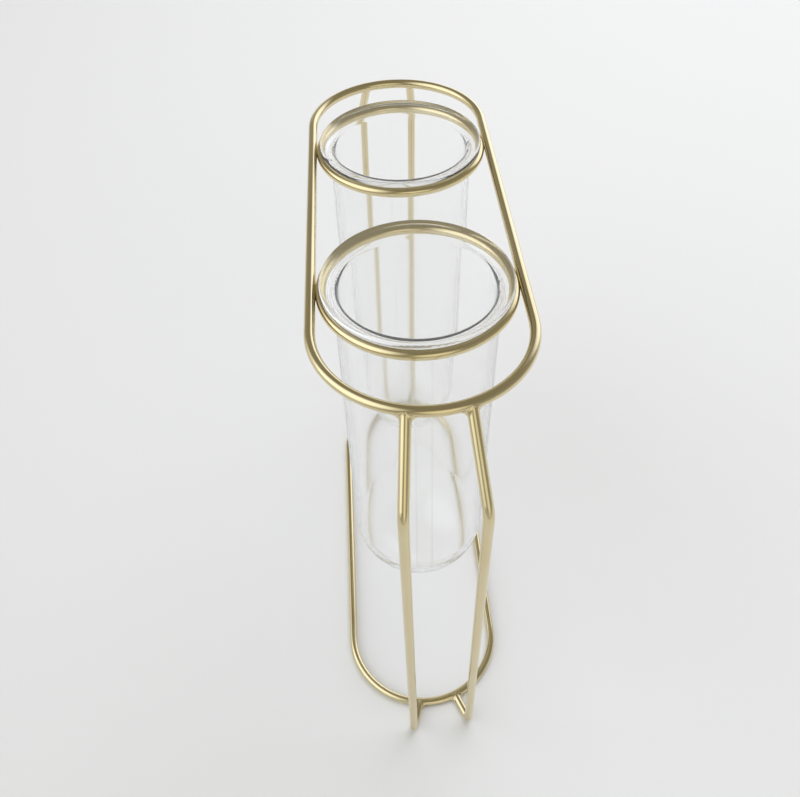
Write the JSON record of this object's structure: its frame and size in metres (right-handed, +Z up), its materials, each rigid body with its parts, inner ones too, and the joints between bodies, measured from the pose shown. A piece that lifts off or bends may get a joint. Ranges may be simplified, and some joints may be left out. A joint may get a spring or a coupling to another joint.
{
  "type": "test tube vase",
  "caption": "Vase of round-bottomed glass tubes that hang by their flared rims in rings of a slender gold rod frame with racetrack loops and bent legs.",
  "frame": {"origin": "middle of the footprint, on the surface that the vase stands on", "axes": "+Z up; +Y along the racetrack loops from the front tube to the back tube; +X across, to the right seen from the front end"},
  "size_m": [0.0736, 0.2356, 0.2198],
  "materials": {
    "gold_rod": "satin polished pale gold",
    "clear_glass": "clear and polished"
  },
  "bodies": {
    "frame": {"upper_loop": "gold_rod", "lower_loop": "gold_rod", "front_ring": "gold_rod", "back_ring": "gold_rod", "front_left_leg": "gold_rod", "front_right_leg": "gold_rod", "back_left_leg": "gold_rod", "back_right_leg": "gold_rod"},
    "front_tube": {"front_tube": "clear_glass"},
    "back_tube": {"back_tube": "clear_glass"}
  },
  "joints": [
    {"name": "front_tube_lift", "type": "slide", "parent": "frame", "child": "front_tube", "axis": [0, 0, 1], "range_m": [0, 0.165]},
    {"name": "back_tube_lift", "type": "slide", "parent": "frame", "child": "back_tube", "axis": [0, 0, 1], "range_m": [0, 0.165]}
  ]
}
